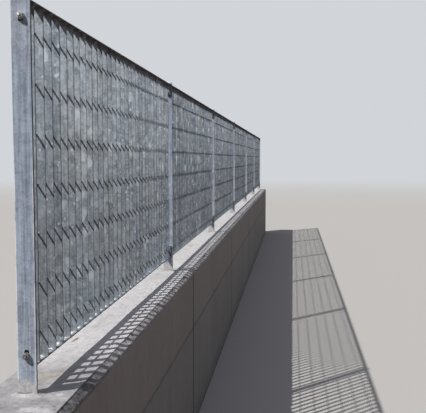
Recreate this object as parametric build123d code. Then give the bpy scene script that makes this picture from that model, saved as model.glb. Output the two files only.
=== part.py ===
"""Steel grating fence in six bays, bolted between flat posts that stand in a low concrete wall.

X runs along the fence, Y from its front to its back, and Z up. The origin is on the ground, at the
middle of the wall's length and thickness. All sizes are in millimetres.
"""

from build123d import *
import os

# Fence line
BAYS = 6
POST_PITCH = 2000.0
FENCE_Y = 4.0

# Wall under the fence
WALL_HEIGHT = 880.0
WALL_THICKNESS = 250.0
WALL_END = 250.0
FRONT_ARRIS_WIDTH = 24.0
FRONT_ARRIS_DROP = 17.0
BACK_ARRIS = 8.0
WALL_JOINTS = (2060.0, 4470.0, 6820.0, 9270.0)
JOINT_GROOVE = 8.0

# Posts, flat bars set in the wall
POST_WIDTH = 50.0
POST_THICKNESS = 8.0
POST_ABOVE_PANEL = 10.0
POST_IN_WALL = 200.0
POST_CORNER = 3.0

# Mortar that fills the pocket round each post and is trowelled up its foot
POCKET_LENGTH = 44.0
POCKET_WIDTH = 92.0
POCKET_BELOW_POST = 20.0
COLLAR_HEIGHT = 14.0
COLLAR_TOP_MARGIN = 7.0

# Grating panels
PANEL_HEIGHT = 930.0
PANEL_GAP = 75.0
BAR_PITCH = 63.0
BAR_DEPTH = 25.0
BAR_THICKNESS = 2.0
END_BAR_THICKNESS = 4.0
BAR_END_SPACE = 40.0
ROD_PITCH = 132.0
ROD_DIAMETER = 5.0
ROD_SIDES = 6
ROD_PROUD = 0.5
ROD_OVERHANG = 4.0
ROD_EDGE_SPACE = 40.0
FRAME_WIDTH = 25.0
FRAME_THICKNESS = 4.0

# Corner lugs of the panels and the bolts' holes
LUG_WIDTH = 40.0
LUG_HEIGHT = 64.0
LUG_THICKNESS = 5.0
BOLT_INSET = 38.0
LUG_HOLE = 11.0
SLOT_WIDTH = 12.0
SLOT_LENGTH = 25.0

# Places that follow from the sizes above
FENCE_LENGTH = BAYS * POST_PITCH
WALL_START_X = -FENCE_LENGTH / 2 - WALL_END
WALL_FINISH_X = FENCE_LENGTH / 2 + WALL_END
POST_XS = [-FENCE_LENGTH / 2 + POST_PITCH * number for number in range(BAYS + 1)]
PANEL_BOTTOM = WALL_HEIGHT + PANEL_GAP
PANEL_TOP = PANEL_BOTTOM + PANEL_HEIGHT
POST_TOP = PANEL_TOP + POST_ABOVE_PANEL
BOLT_ZS = (PANEL_BOTTOM + BOLT_INSET, PANEL_TOP - BOLT_INSET)


def block(x_span, y_span, z_span):
    """A box between three pairs of limits."""
    size = [span[1] - span[0] for span in (x_span, y_span, z_span)]
    middle = [(span[0] + span[1]) / 2 for span in (x_span, y_span, z_span)]
    return Pos(*middle) * Box(*size)


def around(middle, width):
    """The two limits of a width about its middle."""
    return (middle - width / 2, middle + width / 2)


def pocket(x):
    """The mortar's space round the post at x, open at the wall's top."""
    bottom = WALL_HEIGHT - POST_IN_WALL - POCKET_BELOW_POST
    return block(around(x, POCKET_LENGTH), around(FENCE_Y, POCKET_WIDTH), (bottom, WALL_HEIGHT))


def mortar(x):
    """The mortar in the pocket and the low collar that slopes up to the post, before the post is cut."""
    foot = Pos(x, FENCE_Y, WALL_HEIGHT) * Rectangle(POCKET_LENGTH, POCKET_WIDTH)
    crown_length = POST_THICKNESS + 2 * COLLAR_TOP_MARGIN
    crown_width = POST_WIDTH + 2 * COLLAR_TOP_MARGIN
    crown = Pos(x, FENCE_Y, WALL_HEIGHT + COLLAR_HEIGHT) * Rectangle(crown_length, crown_width)
    return pocket(x) + loft([foot.face(), crown.face()])


def wall_section(x_start, x_finish):
    """One cast length of the wall, with its top arrises taken off, its grooves and its pockets."""
    half = WALL_THICKNESS / 2
    outline = Polyline(
        (-half, 0),
        (half, 0),
        (half, WALL_HEIGHT - BACK_ARRIS),
        (half - BACK_ARRIS, WALL_HEIGHT),
        (-half + FRONT_ARRIS_WIDTH, WALL_HEIGHT),
        (-half, WALL_HEIGHT - FRONT_ARRIS_DROP),
        close=True,
    )
    profile = Plane.YZ.offset(x_start) * make_face(outline)
    section = extrude(profile, x_finish - x_start, dir=(1, 0, 0))
    for joint_x in (x_start, x_finish):
        if WALL_START_X < joint_x < WALL_FINISH_X:
            groove_side = JOINT_GROOVE / 2**0.5
            groove = Box(groove_side, groove_side, 2 * WALL_HEIGHT)
            for face_y in (-half, half):
                section -= Pos(joint_x, face_y, WALL_HEIGHT) * Rot(0, 0, 45) * groove
    for post_x in POST_XS:
        if x_start < post_x < x_finish:
            section -= pocket(post_x)
    return section


def slot_cut(x, z):
    """The upright slot through a post for one bolt."""
    straight = SLOT_LENGTH - SLOT_WIDTH
    cut = block(around(x, 2 * POST_THICKNESS), around(FENCE_Y, SLOT_WIDTH), around(z, straight))
    for end_z in around(z, straight):
        cut += Pos(x, FENCE_Y, end_z) * Rot(0, 90, 0) * Cylinder(SLOT_WIDTH / 2, 2 * POST_THICKNESS)
    return cut


def post(x):
    """A flat bar on end, its broad faces along the fence, slotted for the panels' bolts."""
    z_span = (WALL_HEIGHT - POST_IN_WALL, POST_TOP)
    bar = block(around(x, POST_THICKNESS), around(FENCE_Y, POST_WIDTH), z_span)
    top_corners = bar.edges().filter_by(Axis.X).group_by(Axis.Z)[-1]
    bar = chamfer(top_corners, POST_CORNER)
    for bolt_z in BOLT_ZS:
        bar -= slot_cut(x, bolt_z)
    return bar


def panel(x_start):
    """A grating panel: upright flats on edge, round cross rods, frame flats and corner lugs."""
    x_low = x_start + POST_THICKNESS / 2
    x_high = x_start + POST_PITCH - POST_THICKNESS / 2
    x_middle = (x_low + x_high) / 2
    bar_spaces = int((x_high - x_low - 2 * BAR_END_SPACE) // BAR_PITCH)
    first_bar = x_middle - bar_spaces * BAR_PITCH / 2
    rod_spaces = int((PANEL_HEIGHT - 2 * ROD_EDGE_SPACE) // ROD_PITCH)
    first_rod = PANEL_BOTTOM + (PANEL_HEIGHT - rod_spaces * ROD_PITCH) / 2

    pieces = []
    frame_y = around(FENCE_Y, FRAME_WIDTH)
    for frame_bottom in (PANEL_BOTTOM, PANEL_TOP - FRAME_THICKNESS):
        frame_z = (frame_bottom, frame_bottom + FRAME_THICKNESS)
        pieces.append(block((x_low, x_high), frame_y, frame_z))

    bar_y = around(FENCE_Y, BAR_DEPTH)
    bar_z = (PANEL_BOTTOM + FRAME_THICKNESS / 2, PANEL_TOP - FRAME_THICKNESS / 2)
    for number in range(bar_spaces + 1):
        thickness = END_BAR_THICKNESS if number in (0, bar_spaces) else BAR_THICKNESS
        bar_x = around(first_bar + number * BAR_PITCH, thickness)
        pieces.append(block(bar_x, bar_y, bar_z))

    rod_y = FENCE_Y + BAR_DEPTH / 2 - ROD_DIAMETER / 2 + ROD_PROUD
    rod_length = bar_spaces * BAR_PITCH + END_BAR_THICKNESS + 2 * ROD_OVERHANG
    for number in range(rod_spaces + 1):
        section = RegularPolygon(ROD_DIAMETER / 2, ROD_SIDES)
        rod_plane = Plane(
            origin=(x_middle - rod_length / 2, rod_y, first_rod + number * ROD_PITCH),
            x_dir=(0, 1, 0),
            z_dir=(1, 0, 0),
        )
        pieces.append(extrude(rod_plane * section, rod_length))

    lug_zs = ((PANEL_BOTTOM, PANEL_BOTTOM + LUG_HEIGHT), (PANEL_TOP - LUG_HEIGHT, PANEL_TOP))
    for lug_x in ((x_low, x_low + LUG_THICKNESS), (x_high - LUG_THICKNESS, x_high)):
        for lug_z, bolt_z in zip(lug_zs, BOLT_ZS):
            lug = block(lug_x, around(FENCE_Y, LUG_WIDTH), lug_z)
            hole = Rot(0, 90, 0) * Cylinder(LUG_HOLE / 2, 4 * LUG_THICKNESS)
            pieces.append(lug - Pos(sum(lug_x) / 2, FENCE_Y, bolt_z) * hole)

    return pieces[0].fuse(*pieces[1:])


def save(shape, node):
    """Write one node's solid to its file."""
    export_step(shape, f"parts/{node}.step")


os.makedirs("parts", exist_ok=True)

joint_xs = [POST_XS[0] + distance for distance in WALL_JOINTS]
section_ends = [WALL_START_X, *joint_xs, WALL_FINISH_X]
for index in range(len(section_ends) - 1):
    save(wall_section(section_ends[index], section_ends[index + 1]), f"wall_section_{index + 1}")

for index, post_x in enumerate(POST_XS):
    steel = post(post_x)
    save(steel, f"post_{index + 1}")
    save(mortar(post_x) - steel, f"post_mortar_{index + 1}")

first_panel = panel(POST_XS[0])
for index in range(BAYS):
    save(Pos(index * POST_PITCH, 0, 0) * first_panel, f"panel_{index + 1}")
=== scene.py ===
"""Looks of a steel grating fence on a low concrete wall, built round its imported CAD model.

Every size is in metres, in the frame of the CAD model: X along the fence, Y from its front to its
back, Z up, with the ground at Z 0. The fence is seen along its front from beside the first post.
"""

from __future__ import annotations

import logging
import math
from collections.abc import Mapping, Sequence
from dataclasses import dataclass
from enum import Enum, auto

import bmesh
import bpy
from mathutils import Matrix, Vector, noise
from mathutils.geometry import delaunay_2d_cdt

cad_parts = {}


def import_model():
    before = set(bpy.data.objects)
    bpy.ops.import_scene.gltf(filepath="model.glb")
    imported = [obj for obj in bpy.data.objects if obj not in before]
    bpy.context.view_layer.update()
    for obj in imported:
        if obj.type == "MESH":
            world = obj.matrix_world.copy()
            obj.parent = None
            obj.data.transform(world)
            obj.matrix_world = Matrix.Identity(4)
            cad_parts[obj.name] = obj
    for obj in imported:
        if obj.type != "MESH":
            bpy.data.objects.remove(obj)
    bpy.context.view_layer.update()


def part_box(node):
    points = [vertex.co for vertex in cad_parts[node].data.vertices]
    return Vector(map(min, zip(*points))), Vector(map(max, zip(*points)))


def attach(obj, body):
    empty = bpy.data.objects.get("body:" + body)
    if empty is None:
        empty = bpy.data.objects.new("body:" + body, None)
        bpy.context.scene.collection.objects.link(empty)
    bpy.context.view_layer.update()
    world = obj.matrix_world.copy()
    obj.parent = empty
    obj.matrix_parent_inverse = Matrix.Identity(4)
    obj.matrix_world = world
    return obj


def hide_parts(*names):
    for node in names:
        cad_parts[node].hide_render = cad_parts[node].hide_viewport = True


LOG = logging.getLogger("fence")
BODY = "root"

# Height of the line between the two lifts in which the wall was cast
FORM_LINE = 0.56

Colour = tuple[float, float, float]
Point = tuple[float, float, float]
# From where a value rises from 0, to where it is 1
Span = tuple[float, float]
# The least and the most that a random value can be
Limits = tuple[float, float]
Outline = list[tuple[float, float]]
Solid = tuple[list[Point], list[list[int]]]
ThreeLimits = tuple[Limits, Limits, Limits]


class Slot(Enum):
    """The record's material slots."""

    CONCRETE = "concrete"
    MORTAR = "mortar"
    POST = "galvanised_post"
    GRATING = "galvanised_grating"


class WallPart(Enum):
    """The parts of the wall's surface, which are cast or worn in different ways."""

    SIDE = auto()
    ARRIS = auto()
    TOP = auto()


# A place round the wall's section as y and z, the way out from it as y and z, and its part
ProfilePoint = tuple[float, float, float, float, WallPart]


class Link:
    """A node's output that takes part in Python expressions."""

    def __init__(self, graph: Graph, socket: bpy.types.NodeSocket | None) -> None:
        """Keep the socket and the graph that it belongs to."""
        self.graph = graph
        self.socket = socket

    def output(self, name: str) -> Link:
        """Another output of the same node."""
        return Link(self.graph, self.graph.find(self.socket.node.outputs, name))

    def __add__(self, other: Link | float) -> Link:
        """Sum of two values."""
        return self.graph.math("ADD", self, other)

    __radd__ = __add__

    def __sub__(self, other: Link | float) -> Link:
        """Difference of two values."""
        return self.graph.math("SUBTRACT", self, other)

    def __rsub__(self, other: Link | float) -> Link:
        """Difference, with this value taken from the other."""
        return self.graph.math("SUBTRACT", other, self)

    def __mul__(self, other: Link | float) -> Link:
        """Product of two values."""
        return self.graph.math("MULTIPLY", self, other)

    __rmul__ = __mul__

    def __truediv__(self, other: Link | float) -> Link:
        """Quotient of two values."""
        return self.graph.math("DIVIDE", self, other)

    def __abs__(self) -> Link:
        """The value without its sign."""
        return self.graph.math("ABSOLUTE", self)


class Graph:
    """A node tree that is filled by one node-making method."""

    def __init__(self, tree: bpy.types.NodeTree) -> None:
        """Wrap a tree and empty it."""
        self.tree = tree
        self.tree.nodes.clear()

    def node(
        self, kind: str, inputs: Mapping[str | int, object] | None = None, **settings: object
    ) -> Link:
        """Make one node.

        Args:
            kind: the node's Blender type.
            inputs: values or links for its sockets, by name or number.
            **settings: its properties, which are set first.

        Returns:
            The first of its outputs in use.
        """
        made = self.tree.nodes.new(kind)
        for name, value in settings.items():
            setattr(made, name, value)
        for name, value in (inputs or {}).items():
            self._feed(self.find(made.inputs, name), value)
        return Link(self, next((socket for socket in made.outputs if socket.enabled), None))

    @staticmethod
    def find(sockets: Sequence[bpy.types.NodeSocket], name: str | int) -> bpy.types.NodeSocket:
        """Find a socket by its number, or one in use by its name."""
        named = (socket for socket in sockets if socket.name == name and socket.enabled)
        return sockets[name] if isinstance(name, int) else next(named)

    def _feed(self, socket: bpy.types.NodeSocket, value: object) -> None:
        """Fill one socket.

        Args:
            socket: the node's input.
            value: a link, a list of linked geometries, or a plain value.
        """
        if isinstance(value, Link):
            self.tree.links.new(value.socket, socket)
        elif isinstance(value, list):
            for one in value:
                self.tree.links.new(one.socket, socket)
        else:
            socket.default_value = value

    def math(self, operation: str, *values: Link | float) -> Link:
        """Work out one number from others with a Math node."""
        return self.node("ShaderNodeMath", dict(enumerate(values)), operation=operation)

    def vector(self, x: Link | float, y: Link | float, z: Link | float) -> Link:
        """Put three numbers together."""
        return self.node("ShaderNodeCombineXYZ", {"X": x, "Y": y, "Z": z})

    def blend(
        self, share: Link | float, first: Link | Colour, second: Link | Colour, how: str = "MIX"
    ) -> Link:
        """Mix two colours.

        Args:
            share: 0 for the first and 1 for the second.
            first: a colour or a link to one.
            second: the other.
            how: the way of mixing.

        Returns:
            The mixed colour.
        """
        inputs = {"Factor": share}
        for label, colour in (("A", first), ("B", second)):
            inputs[label] = colour if isinstance(colour, Link) else (*colour, 1.0)
        return self.node("ShaderNodeMix", inputs, data_type="RGBA", blend_type=how)

    def seen(self) -> Link:
        """Tell what the picture shows from what only lights the object.

        Returns:
            1 where the camera, a reflection or a see-through surface looks.
        """
        path = self.node("ShaderNodeLightPath")
        rays = [path.output(f"Is {kind} Ray") for kind in ("Camera", "Glossy", "Transmission")]
        return self.math("MAXIMUM", self.math("MAXIMUM", rays[0], rays[1]), rays[2])


class Shader(Graph):
    """A material's node tree, with the patterns that the finishes share."""

    def __init__(self, name: str) -> None:
        """Start an empty material.

        Args:
            name: the material's name.
        """
        self.material = bpy.data.materials.new(name)
        self.material.use_nodes = True
        super().__init__(self.material.node_tree)
        self.place = self.node("ShaderNodeTexCoord").output("Object")
        parts = self.node("ShaderNodeSeparateXYZ", {"Vector": self.place})
        self.x, self.y, self.z = (parts.output(axis) for axis in "XYZ")
        normal = self.node("ShaderNodeNewGeometry").output("Normal")
        facing = self.node("ShaderNodeSeparateXYZ", {"Vector": normal})
        self.facing_y, self.facing_z = (facing.output(axis) for axis in "YZ")

    def stretched(self, scale: Point) -> Link:
        """The object's own coordinates, with so many pattern units to a metre along X, Y and Z."""
        return self.node("ShaderNodeMapping", {"Vector": self.place, "Scale": scale})

    def noise(
        self, scale: float, detail: float = 3.0, rough: float = 0.5, place: Link | None = None
    ) -> Link:
        """Cloudy noise from 0 to 1.

        Args:
            scale: features to a metre.
            detail: how many finer octaves are added.
            rough: how strong the finer octaves are.
            place: other coordinates than the object's own.

        Returns:
            The noise's value.
        """
        inputs = {"Vector": place or self.place, "Scale": scale, "Detail": detail,
                  "Roughness": rough}
        return self.node("ShaderNodeTexNoise", inputs)

    def crystals(self, scale: float, place: Link | None = None) -> Link:
        """Crystals with straight borders.

        Args:
            scale: crystals to a metre.
            place: other coordinates than the object's own.

        Returns:
            The way to a crystal's middle; its output Color is one random colour a crystal.
        """
        return self.node("ShaderNodeTexVoronoi", {"Vector": place or self.place, "Scale": scale})

    def cells(self, scale: float, place: Link | None = None) -> Link:
        """One random value from 0 to 1 for each crystal."""
        colour = self.crystals(scale, place).output("Color")
        return self.node("ShaderNodeSeparateColor", {"Color": colour})

    def between(self, value: Link, low: float, high: float) -> Link:
        """0 below low, 1 above high and a smooth step between; the other way if low is more."""
        inputs = {"Value": value, "From Min": low, "From Max": high}
        return self.node("ShaderNodeMapRange", inputs, interpolation_type="SMOOTHSTEP")

    def tinted(self, colour: Link, share: Link | float, tint: Link | Colour) -> Link:
        """Multiply a colour by a tint, as far as the share says."""
        return self.blend(share, colour, tint, "MULTIPLY")

    def shade(self, colour: Link, amount: Link) -> Link:
        """Multiply a colour by a number."""
        return self.tinted(colour, 1.0, self.vector(amount, amount, amount))

    def attribute(self, name: str) -> Link:
        """A number that the mesh carries under that name."""
        return self.node("ShaderNodeAttribute", attribute_name=name).output("Fac")

    def bump(self, height: Link, strength: float, distance: float) -> Link:
        """A normal bent by a height pattern.

        Args:
            height: the pattern.
            strength: its share, 1 for its full height.
            distance: the height of 1, in metres.

        Returns:
            The normal.
        """
        inputs = {"Strength": strength, "Distance": distance, "Height": height}
        return self.node("ShaderNodeBump", inputs)

    def finish(
        self,
        colour: Link,
        rough: Link | float,
        normal: Link,
        metallic: float | Link = 0.0,
        gloss: float = 0.5,
    ) -> bpy.types.Material:
        """Close the material with one Principled shader.

        Args:
            colour: the base colour.
            rough: the roughness.
            normal: the bumped normal.
            metallic: how metallic it is.
            gloss: its specular level, the same all over.

        Returns:
            The finished material.
        """
        inputs = {"Base Color": colour, "Roughness": rough, "Normal": normal, "Metallic": metallic,
                  "Specular IOR Level": gloss}
        shader = self.node("ShaderNodeBsdfPrincipled", inputs)
        self.node("ShaderNodeOutputMaterial", {"Surface": shader})
        return self.material


class Recipe(Graph):
    """A Geometry Nodes tree with named inputs, whose result is kept as a plain mesh."""

    def __init__(self, name: str, sizes: Mapping[str, float | int]) -> None:
        """Start a tree.

        Args:
            name: the tree's name.
            sizes: the named inputs with their usual values. A whole number makes a count.
        """
        tree = bpy.data.node_groups.new(name, "GeometryNodeTree")
        super().__init__(tree)
        self.name = name
        self.identifiers: dict[str, str] = {}
        for label, value in sizes.items():
            kind = "NodeSocketInt" if isinstance(value, int) else "NodeSocketFloat"
            made = tree.interface.new_socket(name=label, in_out="INPUT", socket_type=kind)
            made.default_value = value
            self.identifiers[label] = made.identifier
        kind = "NodeSocketGeometry"
        tree.interface.new_socket(name="Geometry", in_out="OUTPUT", socket_type=kind)
        self.inputs = self.node("NodeGroupInput")

    def size(self, label: str) -> Link:
        """The named input."""
        return self.inputs.output(label)

    def join(self, *parts: Link) -> Link:
        """Put geometries together."""
        return self.node("GeometryNodeJoinGeometry", {"Geometry": list(parts)})

    def moved(
        self, part: Link, place: Link | Point = (0, 0, 0), turn: Point = (0, 0, 0)
    ) -> Link:
        """Turn a geometry about the origin and then move it."""
        inputs = {"Geometry": part, "Translation": place, "Rotation": turn}
        return self.node("GeometryNodeTransform", inputs)

    def laid(self, part: Link) -> Link:
        """Lay an upright geometry along X."""
        return self.moved(part, turn=(0.0, math.pi / 2, 0.0))

    def rectangle(
        self, width: Link | float, depth: Link | float, corner: float, steps: int
    ) -> Link:
        """A flat closed curve with rounded corners.

        Args:
            width: its size along X.
            depth: its size along Y.
            corner: the radius of its corners.
            steps: the points that are added to each corner.

        Returns:
            The curve.
        """
        outline = self.node("GeometryNodeCurvePrimitiveQuadrilateral", {0: width, 1: depth})
        fillet = {"Curve": outline, "Radius": corner, "Count": steps}
        return self.node("GeometryNodeFilletCurve", fillet, mode="POLY")

    def prism(self, width: Link, depth: Link, height: Link, corner: float) -> Link:
        """A closed bar that stands on the origin, with its four long edges rounded.

        Args:
            width: its size along X.
            depth: its size along Y.
            height: its size along Z.
            corner: the radius of its long edges.

        Returns:
            The bar.
        """
        return self.slab(self.rectangle(width, depth, corner, 2), height, corner * 0.01)

    def slab(self, outline: Link, height: Link | float, merge: float) -> Link:
        """A closed plate that stands on flat closed curves, with the inner ones as its holes.

        Args:
            outline: the curves, in the XY plane.
            height: its size along Z.
            merge: the distance under which points become one.

        Returns:
            The plate.
        """
        foot = self.node("GeometryNodeFillCurve", {"Curve": outline}, mode="NGONS")
        up = {"Mesh": foot, "Offset": self.vector(0.0, 0.0, 1.0), "Offset Scale": height,
              "Individual": False}
        walls = self.node("GeometryNodeExtrudeMesh", up, mode="FACES")
        turned = self.node("GeometryNodeFlipFaces", {"Mesh": foot})
        both = {"Geometry": self.join(walls, turned), "Distance": merge}
        return self.node("GeometryNodeMergeByDistance", both)

    def row(self, start: Link, step: Link, count: Link | int) -> Link:
        """A line of points."""
        inputs = {"Count": count, "Start Location": start, "Offset": step}
        return self.node("GeometryNodeMeshLine", inputs, mode="OFFSET")

    def chance(self, low: float, high: float, seed: Link | int) -> Link:
        """A random number for each point."""
        inputs = {"Min": low, "Max": high, "Seed": seed}
        return self.node("FunctionNodeRandomValue", inputs, data_type="FLOAT")

    def scatter(self, limits: Sequence[Limits], *seeds: Link | int) -> Link:
        """A random vector for each point, from the limits and the seed of each axis."""
        return self.vector(*(self.chance(*limit, seed) for limit, seed in zip(limits, seeds)))

    def copies(
        self,
        points: Link,
        part: Link,
        turn: Link | Point = (0, 0, 0),
        scale: Link | Point = (1, 1, 1),
    ) -> Link:
        """A copy of the part on each point."""
        inputs = {"Points": points, "Instance": part, "Rotation": turn, "Scale": scale}
        return self.node("GeometryNodeInstanceOnPoints", inputs)

    def marked(self, part: Link, name: str, value: Link) -> Link:
        """Give each copy a number that the shader can read."""
        inputs = {"Geometry": part, "Name": name, "Value": value}
        return self.node("GeometryNodeStoreNamedAttribute", inputs, domain="INSTANCE")

    def close(self, part: Link, material: bpy.types.Material) -> None:
        """End the tree with real geometry in one material.

        Args:
            part: the geometry, which may hold copies.
            material: the material to set.
        """
        real = self.node("GeometryNodeRealizeInstances", {"Geometry": part})
        dressed = self.node("GeometryNodeSetMaterial", {"Geometry": real, "Material": material})
        self.node("NodeGroupOutput", {"Geometry": dressed})

    def make(self, piece: str, sizes: Mapping[str, float | int]) -> bpy.types.Object:
        """Run the tree and keep its result as a plain mesh.

        Args:
            piece: the new piece's name.
            sizes: the named inputs that differ from their usual values.

        Returns:
            The piece, with no modifier left on it.
        """
        carrier = add_object(f"{piece}_carrier", bpy.data.meshes.new(f"{piece}_carrier"))
        modifier = carrier.modifiers.new(self.name, "NODES")
        modifier.node_group = self.tree
        for label, value in sizes.items():
            modifier[self.identifiers[label]] = value
        depsgraph = bpy.context.evaluated_depsgraph_get()
        result = carrier.evaluated_get(depsgraph)
        mesh = bpy.data.meshes.new_from_object(result, depsgraph=depsgraph)
        mesh.name = piece
        bpy.data.objects.remove(carrier)
        return add_object(piece, mesh)


def add_object(name: str, made: bpy.types.ID) -> bpy.types.Object:
    """Put a mesh, lamp or camera in the scene.

    Args:
        name: the object's name.
        made: what it shows.

    Returns:
        The object.
    """
    placed = bpy.data.objects.new(name, made)
    bpy.context.scene.collection.objects.link(placed)
    return placed


def mesh_of(name: str, points: Sequence[Point], faces: Sequence[Sequence[int]]) -> bpy.types.Mesh:
    """A mesh from points and faces, its doubles merged and its faces outward.

    Args:
        name: the mesh's name.
        points: its points.
        faces: its faces, as the numbers of their points.

    Returns:
        The mesh.
    """
    mesh = bpy.data.meshes.new(name)
    mesh.from_pydata(points, [], faces)
    shape = bmesh.new()
    shape.from_mesh(mesh)
    bmesh.ops.remove_doubles(shape, verts=shape.verts, dist=1e-6)
    bmesh.ops.recalc_face_normals(shape, faces=shape.faces)
    shape.to_mesh(mesh)
    shape.free()
    return mesh


def skin(points: Sequence[Point], around: int) -> list[list[int]]:
    """Faces between rings of points, from the first ring to the last.

    Args:
        points: the points, ring by ring.
        around: how many there are to a ring.

    Returns:
        The faces.
    """
    faces = []
    for low in range(0, len(points) - around, around):
        high = low + around
        for i in range(around):
            j = (i + 1) % around
            faces.append([low + i, low + j, high + j, high + i])
    return faces


def smooth_tube(name: str, points: Sequence[Point], around: int) -> bpy.types.Mesh:
    """A closed mesh through rings of points, with flat ends and smooth sides.

    Args:
        name: the mesh's name.
        points: the points, ring by ring.
        around: how many there are to a ring.

    Returns:
        The mesh.
    """
    ends = [list(range(around)), list(range(len(points) - around, len(points)))]
    mesh = mesh_of(name, points, skin(points, around) + ends)
    for polygon in mesh.polygons:
        polygon.use_smooth = len(polygon.vertices) == 4
    return mesh


def turned(rows: Sequence[tuple[float, float]], sides: int, flat: float = math.inf) -> Solid:
    """A solid about the X axis, round or with six flats, its corners turned off to the rows.

    Args:
        rows: (x, largest radius) from one end to the other.
        sides: the points round it.
        flat: half the width across six flats, and without end for a round solid.

    Returns:
        Its points and faces.
    """
    sixth = math.pi / 3
    points: list[Point] = []
    for x, limit in rows:
        for i in range(sides):
            angle = 2 * math.pi * i / sides
            reach = min(flat / math.cos(angle % sixth - sixth / 2), limit)
            points.append((x, reach * math.cos(angle), reach * math.sin(angle)))
    return points, skin(points, sides)


def gathered(solids: Sequence[Solid]) -> Solid:
    """Put several solids together.

    Args:
        solids: their points and faces.

    Returns:
        All points and all faces.
    """
    points: list[Point] = []
    faces: list[list[int]] = []
    for some_points, some_faces in solids:
        first = len(points)
        points += some_points
        faces += [[first + i for i in face] for face in some_faces]
    return points, faces


def plate(
    name: str, outline: Outline, holes: Sequence[Outline], faces_x: tuple[float, float], edge: float
) -> bpy.types.Mesh:
    """A flat plate across the X axis with holes through it and its rims rounded.

    Args:
        name: the mesh's name.
        outline: the plate's corners as (y, z).
        holes: the holes' corners as (y, z).
        faces_x: the plate's lower and upper face.
        edge: the width that is rounded off its rims.

    Returns:
        The closed plate.
    """
    sharp_angle = math.radians(60)
    loops = [outline, *holes]
    corners = [Vector(corner) for loop in loops for corner in loop]
    rims, first = [], 0
    for loop in loops:
        rims += [(first + i, first + (i + 1) % len(loop)) for i in range(len(loop))]
        first += len(loop)
    flat, _, faces, *_ = delaunay_2d_cdt(corners, rims, [], 1, 1e-7)
    faces = [face for face in faces if not in_any_hole(face, flat, holes)]
    shape = bmesh.new()
    verts = [shape.verts.new((faces_x[0], p.x, p.y)) for p in flat]
    base = [shape.faces.new([verts[i] for i in face]) for face in faces]
    grown = bmesh.ops.extrude_face_region(shape, geom=base, use_keep_orig=True)
    lifted = [item for item in grown["geom"] if isinstance(item, bmesh.types.BMVert)]
    bmesh.ops.translate(shape, vec=(faces_x[1] - faces_x[0], 0, 0), verts=lifted)
    bmesh.ops.recalc_face_normals(shape, faces=shape.faces)
    sharp = [e for e in shape.edges if len(e.link_faces) == 2 and e.calc_face_angle() > sharp_angle]
    rim_edges = [e for e in sharp if abs(e.verts[0].co.x - e.verts[1].co.x) < 1e-9]
    bmesh.ops.bevel(shape, geom=rim_edges, offset=edge, segments=2, profile=0.5, affect="EDGES")
    mesh = bpy.data.meshes.new(name)
    shape.to_mesh(mesh)
    shape.free()
    return mesh


def in_any_hole(face: Sequence[int], flat: Sequence[Vector], holes: Sequence[Outline]) -> bool:
    """Say if a face's middle lies in one of the convex holes.

    Args:
        face: the numbers of the face's points.
        flat: the points.
        holes: the holes' corners.

    Returns:
        Whether it does.
    """
    middle = sum((flat[i] for i in face), Vector((0, 0))) / len(face)
    for hole in holes:
        centre = sum((Vector(p) for p in hole), Vector((0, 0))) / len(hole)
        reach = [abs(p[0] - centre.x) for p in hole], [abs(p[1] - centre.y) for p in hole]
        if abs(middle.x - centre.x) < max(reach[0]) and abs(middle.y - centre.y) < max(reach[1]):
            return True
    return False


@dataclass(frozen=True)
class Row:
    """Places along the fence that the CAD boxes give, and what posts, panels and bolts share."""

    posts: tuple[float, ...]
    joints: tuple[float, ...]
    fence_y: float
    post_thickness: float
    post_width: float
    post_bottom: float
    post_top: float
    panel_bottom: float
    panel_top: float
    bolt_inset: float = 0.038
    lower_sag: float = 0.003
    upper_sag: float = 0.008
    lug_thickness: float = 0.005

    @classmethod
    def read(cls) -> Row:
        """Read the boxes of the posts, the wall's sections and the first panel.

        Returns:
            The places.
        """
        boxes = [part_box(f"post_{number}") for number in range(1, 8)]
        low, high = boxes[0]
        panel_low, panel_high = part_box("panel_1")
        return cls(
            posts=tuple((a[0] + b[0]) / 2 for a, b in boxes),
            joints=tuple(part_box(f"wall_section_{number}")[0][0] for number in range(2, 6)),
            fence_y=(low[1] + high[1]) / 2,
            post_thickness=high[0] - low[0],
            post_width=high[1] - low[1],
            post_bottom=low[2],
            post_top=high[2],
            panel_bottom=panel_low[2],
            panel_top=panel_high[2],
        )

    def pitch(self) -> float:
        """The way from one post to the next."""
        return self.posts[1] - self.posts[0]

    def from_post(self, s: Shader, x: Link) -> Link:
        """The way along X to the nearest post, as one of them stands at X 0."""
        return s.math("PINGPONG", x, self.pitch() / 2)


@dataclass
class Zinc:
    """A zinc surface in the making, and where it is cloudy, where its narrow edge faces lie, which
    take painted shade, and where it faces up.
    """

    colour: Link
    rough: Link
    metallic: Link | float
    relief: Link
    cloud: Link
    edge_faces: Link
    upward: Link


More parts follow.
